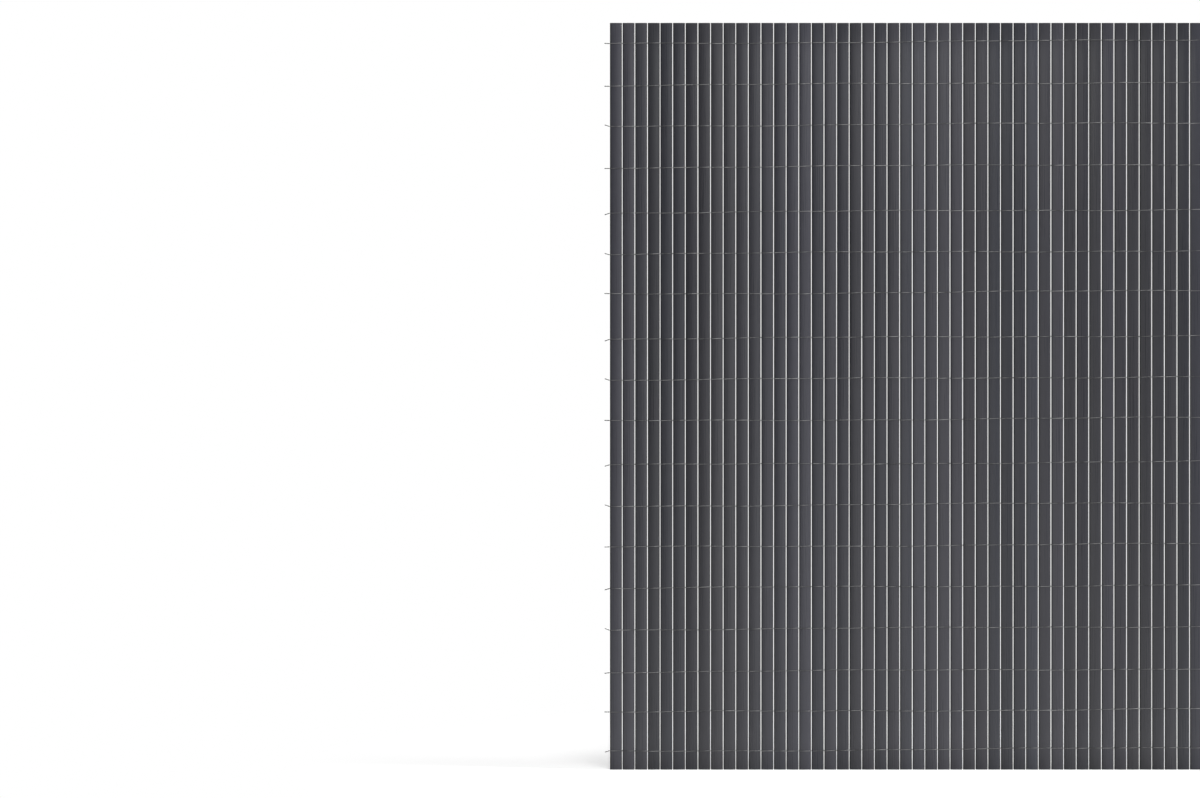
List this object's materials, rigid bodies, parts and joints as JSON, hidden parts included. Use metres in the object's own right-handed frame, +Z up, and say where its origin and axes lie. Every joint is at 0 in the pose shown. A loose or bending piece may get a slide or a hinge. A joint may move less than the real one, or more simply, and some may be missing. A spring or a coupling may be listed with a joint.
{
  "type": "privacy screen mat",
  "caption": "Flat mat of upright hollow plastic slats, bound side by side by level rows of twisted strands; it is tied to a railing or fence to screen it from view.",
  "frame": {"origin": "middle of the mat's bottom edge, halfway through its thickness", "axes": "+Z up along the slats, +X along the mat to the right as seen from the front, +Y from the front to the back, towards the railing"},
  "size_m": [0.8188, 0.0044, 0.9],
  "materials": {
    "slat": "satin extruded plastic, anthracite",
    "binding": "satin, mid grey"
  },
  "bodies": {
    "root": {"slat_01": "slat", "slat_02": "slat", "slat_03": "slat", "slat_04": "slat", "slat_05": "slat", "slat_06": "slat", "slat_07": "slat", "slat_08": "slat", "slat_09": "slat", "slat_10": "slat", "slat_11": "slat", "slat_12": "slat", "slat_13": "slat", "slat_14": "slat", "slat_15": "slat", "slat_16": "slat", "slat_17": "slat", "slat_18": "slat", "slat_19": "slat", "slat_20": "slat", "slat_21": "slat", "slat_22": "slat", "slat_23": "slat", "slat_24": "slat", "slat_25": "slat", "slat_26": "slat", "slat_27": "slat", "slat_28": "slat", "slat_29": "slat", "slat_30": "slat", "slat_31": "slat", "slat_32": "slat", "slat_33": "slat", "slat_34": "slat", "slat_35": "slat", "slat_36": "slat", "slat_37": "slat", "slat_38": "slat", "slat_39": "slat", "slat_40": "slat", "slat_41": "slat", "slat_42": "slat", "slat_43": "slat", "slat_44": "slat", "slat_45": "slat", "slat_46": "slat", "slat_47": "slat", "slat_48": "slat", "slat_49": "slat", "slat_50": "slat", "slat_51": "slat", "slat_52": "slat", "slat_53": "slat", "binding_strands": "binding"}
  },
  "joints": []
}
